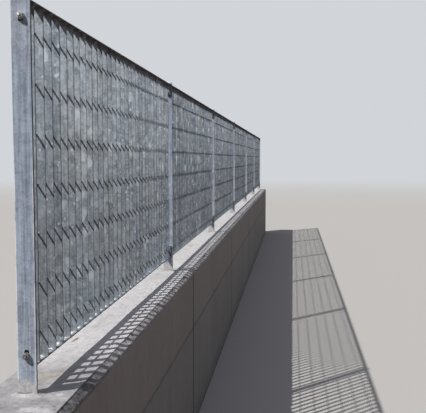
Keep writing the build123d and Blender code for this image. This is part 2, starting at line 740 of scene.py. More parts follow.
@dataclass(frozen=True)
class GalvanisedFinish:
    """Hot-dip zinc that has weathered to a dull blue grey with paler crystals and runs."""

    row: Row
    name: str
    pale: Colour
    dull: Colour
    crystal: float
    blotch: float
    contrast: float
    rough: float
    edge_painted_shade: float
    running: float = 0.8
    bloom_share: float = 0.83
    fleck_share: float = 0.955
    clouding: float = 0.55
    metallic: float = 0.06
    gloss: float = 0.22
    underside_shade: Colour = (0.075, 0.058, 0.046)
    # Colour of the posts' painted highlights on their edges and tip.
    bright: Colour = (0.86, 0.89, 0.93)
    shade_tint: Colour = (0.70, 0.84, 1.0)
    warm: Colour = (1.02, 1.0, 0.955)
    glint: Colour = (0.97, 0.98, 1.0)
    glint_from: Span = (-0.003, 0.001)
    run_grain: Point = (150.0, 150.0, 5.0)
    bloom_rim: Span = (0.52, 0.20)
    fleck_rim: Span = (0.40, 0.22)

    def material(self) -> bpy.types.Material:
        """Build the node tree.

        Returns:
            The material.
        """
        s = Shader(self.name)
        crystals = s.cells(self.crystal)
        fine = s.cells(self.crystal * 3.7)
        cloud = s.noise(self.blotch, 4.0, 0.6)
        runs = s.noise(1.0, 4.0, 0.55, s.stretched(self.run_grain))
        ragged = cloud + 0.8 * (s.noise(self.crystal * 1.7, 3.0, 0.6) - 0.5)
        bloom = self._spots(s, self.crystal * 0.62, self.bloom_share, self.bloom_rim, ragged)
        fleck = self._spots(s, self.crystal * 2.1, self.fleck_share, self.fleck_rim, cloud)
        mix = 0.42 + self.contrast * (
            0.30 * (crystals - 0.5)
            + 0.24 * (fine - 0.5)
            + self.clouding * (cloud - 0.5)
            + self.running * (runs - 0.5)
            + 0.56 * bloom
            + 0.75 * fleck
        )
        # Painted shade: the narrow faces along Y, the edges of the bars and posts, are darkened and
        # tinted blue as if in shade, from whichever side they are seen.
        edge_faces = s.between(abs(s.facing_y), 0.75, 0.95)
        under = s.between(s.facing_z, -0.6, -0.9)
        upward = s.between(s.facing_z, 0.6, 0.95)
        mix = s.between(mix + 0.45 * s.attribute("tone"), -0.1, 1.1)
        colour = s.blend(mix, self.dull, self.pale)
        colour = s.tinted(colour, s.between(s.noise(3.5, 2.0), 0.38, 0.66), self.warm)
        colour = s.tinted(s.shade(colour, 1.0 - self.edge_painted_shade * edge_faces), edge_faces, self.shade_tint)
        # Painted shade: faces turned down are blended to a dark brown, as if in the shade under the
        # flats.
        colour = s.blend(0.92 * under, colour, self.underside_shade)
        # Upward faces are darkened, and painted highlights, white glints, go on their back part,
        # where the sun reaches the bottom flat between the bars.
        glint = s.between(s.noise(95.0, 3.0, 0.6) + 0.3 * (cloud - 0.5), 0.46, 0.53)
        glint = glint * s.between(s.y, *self.glint_from)
        zinc = Zinc(
            colour=s.blend(upward * glint, s.shade(colour, 1.0 - 0.38 * upward), self.glint),
            rough=self.rough + 0.14 * (0.5 - cloud) + 0.08 * (fine - 0.5) - 0.1 * bloom,
            metallic=self.metallic,
            relief=0.6 * cloud + 0.4 * s.noise(900.0, 2.0),
            cloud=cloud,
            edge_faces=edge_faces,
            upward=upward,
        )
        self.age(s, zinc)
        normal = s.bump(zinc.relief, 0.35, 0.0006)
        return s.finish(zinc.colour, zinc.rough, normal, zinc.metallic, self.gloss)

    def age(self, s: Shader, zinc: Zinc) -> None:
        """Add the wear and dirt of one kind of piece."""
        raise NotImplementedError

    @staticmethod
    def _spots(s: Shader, scale: float, share: float, rim: Span, cloud: Link) -> Link:
        """Soft round spots in some cells of a pattern.

        Args:
            s: the material.
            scale: cells to a metre.
            share: how many of the cells stay without a spot, from 0 to 1.
            rim: where a spot starts and where it is full, in cells from its middle.
            cloud: noise that bends its rim.

        Returns:
            1 in the spots and 0 between them.
        """
        tall = s.stretched((1.0, 1.0, 0.7))
        picked = s.between(s.cells(scale, tall), share - 0.05, share + 0.05)
        return s.between(s.crystals(scale, tall) + 0.9 * (cloud - 0.5), *rim) * picked


@dataclass(frozen=True)
class GratingFinish(GalvanisedFinish):
    """The panels' zinc: large crystals, painted shade on its edge faces and under the top flat, and
    a brown painted highlight along the top flat's front edge.
    """

    name: str = Slot.GRATING.value
    pale: Colour = (0.66, 0.74, 0.835)
    dull: Colour = (0.145, 0.175, 0.215)
    crystal: float = 46.0
    blotch: float = 19.0
    contrast: float = 0.85
    rough: float = 0.50
    edge_painted_shade: float = 0.90
    top_shade_tint: Colour = (0.74, 0.66, 0.63)
    crest_highlight: Colour = (0.20, 0.165, 0.12)
    top_shade_from: Span = (1.862, 1.876)
    crest_highlight_from: Span = (1.8825, 1.8845)
    sheen_fade_from: Span = (1.80, 1.20)
    rim: Span = (0.0110, 0.0119)

    def age(self, s: Shader, zinc: Zinc) -> None:
        """Paint shade under the top flat and a brown highlight along its front edge, darken the
        lower part as painted shade where the sun's sheen fades, and paint shade along the bars'
        rims.

        Args:
            s: the material.
            zinc: its surface, which is changed.
        """
        # Painted shade: a brown darkening just under the top flat, where its shadow falls on the
        # bars.
        colour = s.tinted(zinc.colour, s.between(s.z, *self.top_shade_from), self.top_shade_tint)
        # Painted highlight: a brown line on the edge faces along the top, where the top flat's
        # front corner catches the light.
        colour = s.blend(zinc.edge_faces * s.between(s.z, *self.crest_highlight_from), colour, self.crest_highlight)
        # Painted shade: darker towards the bottom, away from upward faces, standing in for the
        # sun's sheen, which is brightest near the top.
        low = s.between(s.z + 0.06 * (zinc.cloud - 0.5), *self.sheen_fade_from)
        colour = s.shade(colour, 1.0 - 0.36 * low * (1.0 - zinc.upward))
        # Painted shade: a dark line along each rim of the bars' broad faces, which widens the
        # shaded edge faces.
        rim = s.between(abs(s.y - self.row.fence_y), *self.rim)
        zinc.colour = s.shade(colour, 1.0 - 0.55 * rim * (1.0 - zinc.edge_faces) * (1.0 - zinc.upward))


@dataclass(frozen=True)
class PostFinish(GalvanisedFinish):
    """The posts' zinc: fine crystals with long runs, painted highlights along the edges and on the
    tip, and cement on the foot.
    """

    name: str = Slot.POST.value
    pale: Colour = (0.57, 0.655, 0.80)
    dull: Colour = (0.16, 0.195, 0.265)
    crystal: float = 70.0
    blotch: float = 22.0
    contrast: float = 0.60
    rough: float = 0.52
    edge_painted_shade: float = 1.0
    running: float = 1.9
    bloom_share: float = 0.9
    cement_dark: Colour = (0.385, 0.375, 0.365)
    cement_pale: Colour = (0.57, 0.56, 0.55)
    edge_highlight: Span = (0.0214, 0.0236)
    edge_highlight_from: Span = (1.62, 1.40)
    tip: Span = (1.883, 1.887)
    foot: Span = (0.927, 0.921)

    def age(self, s: Shader, zinc: Zinc) -> None:
        """Paint highlights along the edges and on the tip, and smear cement on the foot.

        Args:
            s: the material.
            zinc: its surface, which is changed.
        """
        # Painted highlight: patchy light lines along the rounded edges of the broad faces, below
        # the upper part.
        edge_highlight = s.between(abs(s.y - self.row.fence_y), *self.edge_highlight) * (1.0 - zinc.edge_faces)
        patchy = 0.35 + 0.60 * s.between(zinc.cloud, 0.30, 0.55)
        edge_highlight = edge_highlight * s.between(s.z, *self.edge_highlight_from) * patchy
        colour = s.blend(edge_highlight, zinc.colour, self.bright)
        # Painted highlight: the tip above the panels is lightened as if sunlit.
        colour = s.blend(0.85 * s.between(s.z, *self.tip), colour, self.bright)
        cement = s.between(s.z - 0.20 * s.y + 0.05 * (s.noise(40.0, 3.0) - 0.5), *self.foot)
        thin = s.noise(160.0, 3.0)
        smear = s.blend(s.between(thin, 0.3, 0.7), self.cement_dark, self.cement_pale)
        zinc.colour = s.blend(cement * (0.75 + 0.25 * thin), colour, smear)
        zinc.rough = zinc.rough + 0.35 * cement
        zinc.metallic = self.metallic * (1.0 - cement)
        zinc.relief = zinc.relief + 1.5 * cement * thin


@dataclass(frozen=True)
class Mark:
    """An oval mark on the wall's top: its middle, half sizes, strength, colour and turn."""

    x: float
    y: float
    half_long: float
    half_wide: float
    share: float
    tint: Colour
    turn: float = 0.0


class ConcreteShader(Shader):
    """The concrete's material in the making, with its patterns from broad to fine."""

    def __init__(self) -> None:
        """Lay out the patterns, and where the surface faces up."""
        super().__init__("cast_concrete")
        self.broad = self.noise(2.3, 4.0, 0.6)
        self.mottle = self.noise(17.0, 5.0, 0.65)
        self.pebbly = self.noise(70.0, 4.0, 0.6)
        self.sand = self.noise(240.0, 3.0, 0.6)
        self.trowel = self.noise(1.0, 3.0, 0.5, self.stretched((7.0, 60.0, 10.0)))
        self.drips = self.noise(1.0, 4.0, 0.6, self.stretched((26.0, 26.0, 1.1)))
        self.upward = self.between(self.facing_z, 0.45, 0.85)


@dataclass(frozen=True)
class ConcreteFinish:
    """Cast concrete: a pale trowelled top, and darker sides that show their shuttering boards."""

    row: Row
    top: Colour = (0.70, 0.69, 0.705)
    top_dull: Colour = (0.37, 0.365, 0.37)
    side: Colour = (0.455, 0.420, 0.402)
    side_dull: Colour = (0.332, 0.302, 0.289)
    lower: Colour = (0.402, 0.396, 0.378)
    lower_dull: Colour = (0.290, 0.284, 0.270)
    arris: Colour = (0.33, 0.32, 0.325)
    broken: Colour = (0.100, 0.097, 0.100)
    patched: Colour = (0.95, 1.0, 0.985)
    stain: Colour = (0.24, 0.13, 0.09)
    lime: Colour = (0.42, 0.37, 0.22)
    olive: Colour = (0.20, 0.18, 0.10)
    pit: Colour = (0.14, 0.135, 0.135)
    chalk: Colour = (0.80, 0.80, 0.79)
    trodden_from: Span = (-5.50, -6.03)
    patched_from: Span = (-5.40, -5.20)
    patch: Span = (0.108, 0.100)
    patch_rim: Span = (0.007, 0.002)
    board: float = 0.52
    seam: Span = (0.006, 0.0)
    lower_from: Span = (0.59, 0.54)
    form_rim: Span = (0.016, 0.002)
    damp_from: Span = (0.16, 0.0)
    joint_stain: Span = (0.022, 0.007)
    joint_crack: Span = (0.0050, 0.0015)
    front: Span = (0.05, -0.05)
    front_rim: Span = (-0.1015, -0.1030)
    back_rim: Span = (0.1170, 0.1185)
    rim_from: Span = (0.850, 0.860)
    broken_from: Span = (-5.62, -5.86)
    lip: Span = (-0.1205, -0.1220)
    lip_bottom: Span = (0.8610, 0.8630)
    lip_top: Span = (0.8735, 0.8715)
    flecked_from: Span = (-5.70, -5.85)
    marks: tuple[Mark, ...] = (
        Mark(-5.459, 0.055, 0.030, 0.008, 0.80, stain),
        Mark(-5.797, 0.051, 0.015, 0.007, 0.30, stain),
        Mark(-5.852, 0.003, 0.042, 0.022, 0.50, lime, -0.84),
        Mark(-5.850, -0.004, 0.024, 0.010, 0.40, olive, -0.84),
        Mark(-6.058, -0.086, 0.007, 0.0045, 0.80, pit),
        Mark(-6.080, -0.094, 0.007, 0.0045, 0.80, pit),
        Mark(-6.030, -0.052, 0.045, 0.018, 0.07, pit),
        Mark(-6.100, -0.058, 0.020, 0.042, 0.55, top),
        Mark(-6.005, -0.060, 0.020, 0.040, 0.30, top),
        Mark(-5.978, -0.071, 0.016, 0.008, 0.55, chalk),
        Mark(-2.910, 0.040, 0.060, 0.016, 0.40, stain),
        Mark(1.240, -0.050, 0.080, 0.020, 0.40, lime),
    )

    def material(self) -> bpy.types.Material:
        """Build the node tree.

        Returns:
            The material.
        """
        s = ConcreteShader()
        rims = s.between(s.y, *self.front_rim) + s.between(s.y, *self.back_rim)
        rims = rims * s.between(s.z, *self.rim_from)
        colour = s.blend(s.upward, self._sides(s), self._top(s))
        colour = self._stained(s, self._darkened_arrises(s, colour, rims))
        crack = self._at_joints(s, self.joint_crack) * s.upward
        pits = s.between(s.crystals(46.0), 0.085, 0.045) * s.between(s.noise(7.0, 2.0), 0.48, 0.56)
        colour = s.shade(colour, (1.0 - 0.75 * crack) * (1.0 - 0.7 * pits))
        relief = 0.55 * s.mottle + 0.3 * s.sand + 0.4 * s.pebbly * (0.3 + 0.9 * rims)
        relief = relief + 0.35 * s.trowel * s.upward - 1.3 * crack - 1.2 * pits
        relief = relief + 0.25 * s.drips * (1.0 - s.upward)
        return s.finish(colour, 0.86 + 0.08 * (s.sand - 0.5), s.bump(relief, 0.6, 0.0018))

    def _top(self, s: ConcreteShader) -> Link:
        """Colour the trowelled top, trodden near its first end, with a patch at each further post.

        Args:
            s: the material.

        Returns:
            The colour.
        """
        trodden = s.between(s.x + 0.5 * (s.broad - 0.5), *self.trodden_from)
        mix = 0.40 * s.mottle + 0.22 * s.broad + 0.44 * s.sand + 0.10 * s.trowel + 0.62 * s.pebbly
        mix = s.between(mix + 0.24 + 0.5 * trodden * (s.mottle - 0.5), 0.82, 1.36)
        colour = s.shade(s.blend(mix, self.top_dull, self.top), 1.0 - 0.40 * trodden)
        from_post = self.row.from_post(s, s.x + 0.006 * (s.mottle - 0.5))
        beyond = s.between(s.x, *self.patched_from)
        colour = s.tinted(colour, beyond * s.between(from_post, *self.patch), self.patched)
        rim = beyond * s.between(abs(from_post - self.patch[1]), *self.patch_rim)
        return s.shade(colour, 1.0 - 0.34 * rim * s.between(s.pebbly, 0.40, 0.52))

    def _sides(self, s: ConcreteShader) -> Link:
        """Colour the cast sides, in two lifts of boards, with drips, dark joints and a damp foot.

        Args:
            s: the material.

        Returns:
            The colour.
        """
        boards = s.math("FRACT", s.x / self.board)
        seam = s.math("MINIMUM", boards, 1.0 - boards) * self.board
        seam = s.between(seam, *self.seam) * s.between(s.facing_z, 0.5, 0.2)
        tone = s.cells(1.0, s.vector(s.math("FLOOR", s.x / self.board) + 0.5, 0.5, 0.5))
        mix = s.between(0.8 * s.mottle + 0.9 * s.drips + 0.6 * s.broad + 0.22 * tone, 0.75, 1.75)
        upper = s.blend(mix, self.side_dull, self.side)
        lower = s.blend(mix, self.lower_dull, self.lower)
        colour = s.blend(s.between(s.z + 0.05 * (s.broad - 0.5), *self.lower_from), upper, lower)
        wobble = 0.02 * (s.noise(9.0, 3.0, 0.6) - 0.5)
        line = s.between(abs(s.z - FORM_LINE + wobble), *self.form_rim)
        joint = s.between(s.mottle + 0.3 * s.sand, 0.38, 0.62)
        joint = joint * self._at_joints(s, self.joint_stain)
        damp = s.between(s.z + 0.16 * (s.mottle - 0.5), *self.damp_from)
        colour = s.shade(colour, (1.0 - 0.42 * line) * (1.0 - 0.3 * damp) * (1.0 - 0.14 * seam))
        return s.shade(colour, 1.0 - 0.80 * joint)

    def _darkened_arrises(self, s: ConcreteShader, colour: Link, rims: Link) -> Link:
        """Darken the arrises, and put pale flecks in the top's colour on the first one's lip.

        Args:
            s: the material.
            colour: the wall's colour so far.
            rims: 1 on both arrises.

        Returns:
            The new colour.
        """
        broken = s.between(s.x + 0.3 * (s.mottle - 0.5), *self.broken_from)
        dark = s.blend(broken, self.arris, self.broken)
        dark = s.shade(dark, 0.50 + 1.0 * s.between(s.pebbly + 0.3 * (s.sand - 0.5), 0.34, 0.66))
        arris_share = rims * (0.78 + 0.22 * s.between(s.pebbly + 0.4 * s.mottle, 0.95, 0.55))
        colour = s.blend(arris_share * (0.35 + 0.60 * s.between(s.y, *self.front)), colour, dark)
        lip = s.between(s.y - 0.003 * (s.pebbly - 0.5), *self.lip)
        lip = lip * s.between(s.z, *self.lip_bottom) * s.between(s.z, *self.lip_top)
        flecks = s.between(s.noise(130.0, 3.0), 0.50, 0.60) * s.between(s.x, *self.flecked_from)
        return s.blend(0.8 * lip * flecks, colour, self.top)

    def _stained(self, s: ConcreteShader, colour: Link) -> Link:
        """Add the rusty, yellow, dark and chalky marks on the top.

        Args:
            s: the material.
            colour: the wall's colour so far.

        Returns:
            The new colour.
        """
        ragged = 3.4 * (s.sand - 0.5) + 4.5 * (s.noise(75.0) - 0.5)
        for mark in self.marks:
            cos, sin = math.cos(mark.turn), math.sin(mark.turn)
            along = ((s.x - mark.x) * cos + (s.y - mark.y) * sin) / mark.half_long
            aside = ((s.y - mark.y) * cos - (s.x - mark.x) * sin) / mark.half_wide
            inside = s.between(along * along + aside * aside + ragged, 1.3, 0.1)
            colour = s.blend(inside * s.upward * mark.share, colour, mark.tint)
        return colour

    def _at_joints(self, s: Shader, width: Span) -> Link:
        """Draw a wavering line across the wall at each joint.

        Args:
            s: the material.
            width: the line's outer half width, and that at which it is full.

        Returns:
            1 in the lines and 0 beyond them.
        """
        wander = 0.007 * (s.noise(9.0, 4.0, 0.6) - 0.5)
        total: Link | float = 0.0
        for x in self.row.joints:
            total = total + s.between(abs(s.x - x + wander), *width)
        return total


@dataclass(frozen=True)
class MortarFinish:
    """Sandy mortar that was pressed round the posts by hand."""

    row: Row
    pale: Colour = (0.555, 0.55, 0.56)
    dark: Colour = (0.36, 0.355, 0.36)
    gap: Span = (0.0040, 0.0022)

    def material(self) -> bpy.types.Material:
        """Build the node tree.

        Returns:
            The material.
        """
        s = Shader("post_mortar")
        cloud = s.noise(38.0, 5.0, 0.65)
        sand = s.cells(620.0)
        colour = s.blend(s.between(cloud + 0.35 * (sand - 0.5), 0.3, 0.68), self.dark, self.pale)
        off_face = self.row.from_post(s, s.x) - self.row.post_thickness / 2
        off_edge = abs(s.y - self.row.fence_y) - self.row.post_width / 2
        gap = s.between(s.math("MAXIMUM", off_face, off_edge), *self.gap)
        colour = s.shade(colour, 1.0 - 0.60 * gap * s.between(cloud, 0.38, 0.50))
        return s.finish(colour, 0.9, s.bump(cloud + 0.4 * sand, 0.7, 0.0016))


@dataclass(frozen=True)
class ZincFinish:
    """Plated bolts, brighter than the grating, with brown in their corners, painted shade on the
    thread and painted highlights on the upper bolts' ends.
    """

    bright: Colour = (0.56, 0.56, 0.57)
    brown: Colour = (0.15, 0.12, 0.105)
    end_highlight: Colour = (0.80, 0.80, 0.82)
    dark: Colour = (0.045, 0.04, 0.04)
    lower_from: Span = (1.5, 1.3)

    def material(self) -> bpy.types.Material:
        """Build the node tree.

        Returns:
            The material.
        """
        s = Shader("zinc_bolts")
        cloud = s.noise(260.0, 4.0, 0.6)
        low = s.between(s.z, *self.lower_from)
        rust = s.between(cloud + 0.10 * low, 0.52, 0.64)
        colour = s.shade(s.blend(rust * 0.85, self.bright, self.brown), 1.0 - 0.35 * low)
        thread = s.attribute("thread")
        # Painted shade: the thread is darkened nearly to black, as if in the shade of the nut.
        colour = s.blend(thread * 0.8, colour, self.dark)
        # Painted highlight: the cut end of each upper bolt is lightened.
        colour = s.blend(s.between(thread, -0.1, -0.8) * (1.0 - low), colour, self.end_highlight)
        return s.finish(colour, 0.36 + 0.4 * rust, s.bump(cloud, 0.4, 0.0004), 0.75 - 0.5 * rust)


def dress(piece: bpy.types.Object, finish: bpy.types.Material, slot: Slot, *nodes: str) -> None:
    """Give a piece its material and body, and hide the nodes that it stands for.

    Args:
        piece: the finished piece.
        finish: its only material.
        slot: the record's slot; not used.
        *nodes: the CAD nodes that it replaces.
    """
    piece.data.materials.clear()
    piece.data.materials.append(finish)
    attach(piece, BODY)
    if nodes:
        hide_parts(*nodes)
    LOG.info("%s: %d faces", piece.name, len(piece.data.polygons))


@dataclass
class Wall:
    """The cast wall, in sections that meet at grooved joints."""

    column: float = 0.012
    groove: float = 0.004
    top_groove: float = 0.0012
    arris_groove: float = 0.002
    form_step: float = 0.0008
    chip: float = 0.006
    across: int = 18
    heights: tuple[float, ...] = (
        0.0, 0.02, 0.08, 0.2, 0.34, 0.47, FORM_LINE - 0.004, FORM_LINE + 0.002, 0.63, 0.72, 0.79,
        0.83, 0.85,
    )
    front_arris: tuple[tuple[float, float], ...] = (
        (0.0, 0.0170), (0.0022, 0.0150), (0.0060, 0.0126), (0.0102, 0.0099), (0.0145, 0.0072),
        (0.0180, 0.0048), (0.0200, 0.0036), (0.0207, 0.0015), (0.0216, 0.0003), (0.0245, 0.0),
    )
    back_arris: tuple[tuple[float, float], ...] = (
        (0.0, 0.0080), (0.0012, 0.0050), (0.0030, 0.0026), (0.0055, 0.0008), (0.0085, 0.0),
    )
    swell: tuple[tuple[float, float], ...] = (
        (-5.65, 0.0090), (-5.45, 0.0068), (-4.95, 0.0060), (-4.60, 0.0030), (-4.20, 0.0015),
        (-3.90, 0.0),
    )
    crown: Span = (0.045, 0.100)
    crown_edge: float = 0.33

    def build(self, finish: bpy.types.Material) -> None:
        """Make every section.

        Args:
            finish: the concrete.
        """
        for number in range(1, 6):
            node = f"wall_section_{number}"
            low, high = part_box(node)
            mesh = self._section(f"wall_cast_{number}", low, high, number > 1, number < 5)
            dress(add_object(mesh.name, mesh), finish, Slot.CONCRETE, node)

    def _profile(self, half: float, height: float) -> list[ProfilePoint]:
        """Lay points round the section, from the front's foot over the top to the back's foot.

        Args:
            half: half the wall's thickness.
            height: its height.

        Returns:
            The points, with the way out from each.
        """
        slant = math.sqrt(0.5)
        sides = []
        for way, arris in ((-1.0, self.front_arris), (1.0, self.back_arris)):
            side = [(way * half, z, way, 0.0, WallPart.SIDE) for z in self.heights]
            side += [(way * (half - inward), height - under, way * slant, slant, WallPart.ARRIS)
                     for inward, under in arris]
            sides.append(side)
        front, back = sides
        start, finish = front[-1][0], back[-1][0]
        top = [(start + (finish - start) * i / self.across, height, 0.0, 1.0, WallPart.TOP)
               for i in range(1, self.across)]
        return front + top + back[::-1]

    def rise(self, x: float, y: float) -> float:
        """Swell the trowelled top, most along its middle near the first end.

        Args:
            x: the place along the wall.
            y: the place across it.

        Returns:
            The height above the level top.
        """
        before = [stop for stop in self.swell if stop[0] <= x] or self.swell[:1]
        after = [stop for stop in self.swell if stop[0] > x] or self.swell[-1:]
        (x_low, low), (x_high, high) = before[-1], after[0]
        share = (x - x_low) / (x_high - x_low) if x_high > x_low else 0.0
        height = low + (high - low) * min(max(share, 0.0), 1.0)
        outward = min(max((abs(y) - self.crown[0]) / (self.crown[1] - self.crown[0]), 0.0), 1.0)
        return height * (1.0 - (1.0 - self.crown_edge) * outward * outward * (3.0 - 2.0 * outward))

    def _columns(self, start: float, finish: float) -> list[float]:
        """Divide a section along its length, finely at its ends.

        Args:
            start: its lower end.
            finish: its upper end.

        Returns:
            The places.
        """
        count = round((finish - start) / self.column)
        middle = [start + (finish - start) * i / count for i in range(1, count)]
        return [start, start + self.groove, *middle, finish - self.groove, finish]

    def _sunk(self, place: Vector, part: WallPart, near_joint: bool) -> float:
        """How far the surface lies under its ideal plane.

        Args:
            place: a point on that plane.
            part: the part of the surface.
            near_joint: whether it is in a joint's groove.

        Returns:
            The depth.
        """
        if part is WallPart.SIDE:
            depth = 0.0005 + 0.0005 * noise.noise(place * 4.0) + 0.0002 * noise.noise(place * 30.0)
            depth += self.form_step if place.z < FORM_LINE else 0.0
            return max(depth, 0.0) + self.groove * near_joint
        if part is WallPart.TOP:
            depth = 0.0010 + 0.0009 * noise.noise(place * 7.0) + 0.0004 * noise.noise(place * 45.0)
            return max(depth, 0.0) + self.top_groove * near_joint
        rough = 0.0012 + 0.0022 * abs(noise.fractal(place * 34.0, 1.0, 2.0, 4))
        broken = max(0.0, noise.noise(place * Vector((9.0, 14.0, 14.0))) - 0.28) * 0.03
        return rough + min(broken, self.chip) + self.arris_groove * near_joint

    def _section(
        self, name: str, low: Point, high: Point, joint_low: bool, joint_high: bool
    ) -> bpy.types.Mesh:
        """Sweep the profile along one section and close its ends.

        Args:
            name: the mesh's name.
            low: the lowest corner of the section's box.
            high: its highest corner.
            joint_low: whether it meets another section at its lower end.
            joint_high: whether it does at its upper end.

        Returns:
            The closed mesh.
        """
        profile = self._profile((high[1] - low[1]) / 2, high[2])
        columns = self._columns(low[0], high[0])
        points: list[Point] = []
        for x in columns:
            near_joint = (joint_low and x == columns[0]) or (joint_high and x == columns[-1])
            for y, z, out_y, out_z, part in profile:
                sunk = self._sunk(Vector((x, y, z)), part, near_joint)
                sunk *= 0.5 if z == 0.0 else 1.0
                lift = 0.0 if part is WallPart.SIDE else self.rise(x, y)
                points.append((x, y - out_y * sunk, max(z + lift - out_z * sunk, 0.0)))
        return smooth_tube(name, points, len(profile))


@dataclass
class Collars:
    """The mortar round each post, pressed up against it by hand."""

    row: Row
    wall: Wall
    height: float = 0.0115
    solid_height: float = 0.014
    steepness: float = 2.9
    spread: tuple[float, float] = (0.0245, 0.049)
    in_post: float = 0.002
    sunk: float = 0.0025
    skim: float = 0.0019
    ripple: float = 0.0008
    squareness: float = 0.42
    rings: int = 16
    around: int = 72

    def build(self, finish: bpy.types.Material) -> None:
        """Make a collar for each post.

        Args:
            finish: the mortar.
        """
        for number, x in enumerate(self.row.posts, start=1):
            node = f"post_mortar_{number}"
            low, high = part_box(node)
            mesh = smooth_tube(node, self._points(x, low, high), self.around)
            dress(add_object(f"mortar_collar_{number}", mesh), finish, Slot.MORTAR, node)

    def _points(self, x: float, low: Point, high: Point) -> list[Point]:
        """Rings from inside the post out to the skim's rim, and down the pocket to its bottom.

        Args:
            x: the post's place.
            low: the lowest corner of the mortar's box.
            high: its highest corner.

        Returns:
            The points, ring by ring.
        """
        wall_top = high[2] - self.solid_height
        y = (high[1] + low[1]) / 2
        inner_x = self.row.post_thickness / 2 - self.in_post
        inner_y = self.row.post_width / 2 - self.in_post
        points: list[Point] = []
        for ring in range(self.rings):
            share = ring / (self.rings - 1)
            size_x = inner_x + (self.spread[0] - inner_x) * share
            size_y = inner_y + (self.spread[1] - inner_y) * share
            fall = math.exp(-self.steepness * share)
            for x_part, y_part in self._oval(size_x, size_y):
                place = Vector((x + x_part, y + y_part, 0.0))
                height = self.height * fall * (0.9 + 0.3 * noise.noise(place * 40.0))
                height += self.skim * min(1.0, 6.0 * (1.0 - share))
                height += self.ripple * noise.noise(place * 110.0) * (1 - share)
                ragged = 1.0 - 0.10 * share * (1 + noise.noise(place * 34.0))
                z = wall_top + self.wall.rise(place.x, place.y) - self.sunk + max(height, 0.0)
                points.append((x + x_part * ragged, y + y_part * ragged, z))
        pocket = self._oval((high[0] - low[0]) / 2, (high[1] - low[1]) / 2)
        for z in (wall_top - 3 * self.sunk, low[2]):
            points += [(x + x_part, y + y_part, z) for x_part, y_part in pocket]
        return points

    def _oval(self, half_x: float, half_y: float) -> Outline:
        """Lay points on a squarish oval.

        Args:
            half_x: half its size along X.
            half_y: half its size along Y.

        Returns:
            The points as (x, y).
        """
        points = []
        for i in range(self.around):
            angle = 2 * math.pi * (i + 0.5) / self.around
            along, over = (
                math.copysign(abs(part) ** self.squareness, part)
                for part in (math.sin(angle), math.cos(angle))
            )
            points.append((half_x * along, half_y * over))
        return points


@dataclass
class Posts:
    """Flat bars on end, with rolled edges and a slot for each bolt."""

    row: Row
    corner: float = 0.003
    edge: float = 0.0012
    slot_width: float = 0.012
    slot_length: float = 0.025
    slot_corners: int = 24
    lower_slot: float = 0.038
    upper_slot: float = 0.050

    def build(self, finish: bpy.types.Material) -> None:
        """Make every post.

        Args:
            finish: the post's steel.
        """
        half = self.row.post_thickness / 2
        middles = (self.row.panel_bottom + self.lower_slot, self.row.panel_top - self.upper_slot)
        slots = [self._slot(middle) for middle in middles]
        for number, x in enumerate(self.row.posts, start=1):
            faces_x = (x - half, x + half)
            mesh = plate(f"slotted_post_{number}", self._outline(), slots, faces_x, self.edge)
            dress(add_object(mesh.name, mesh), finish, Slot.POST, f"post_{number}")

    def _outline(self) -> Outline:
        """Draw the post's broad face, with its two top corners taken off.

        Returns:
            The corners as (y, z).
        """
        low = self.row.fence_y - self.row.post_width / 2
        high = self.row.fence_y + self.row.post_width / 2
        bottom, top, cut = self.row.post_bottom, self.row.post_top, self.corner
        return [(low, bottom), (high, bottom), (high, top - cut), (high - cut, top),
                (low + cut, top), (low, top - cut)]

    def _slot(self, middle: float) -> Outline:
        """Draw an upright slot.

        Args:
            middle: the height of its middle.

        Returns:
            The corners as (y, z).
        """
        corners = []
        for i in range(self.slot_corners):
            angle = 2 * math.pi * (i + 0.5) / self.slot_corners
            lift = math.copysign((self.slot_length - self.slot_width) / 2, math.sin(angle))
            y = self.row.fence_y + self.slot_width / 2 * math.cos(angle)
            corners.append((y, middle + lift + self.slot_width / 2 * math.sin(angle)))
        return corners


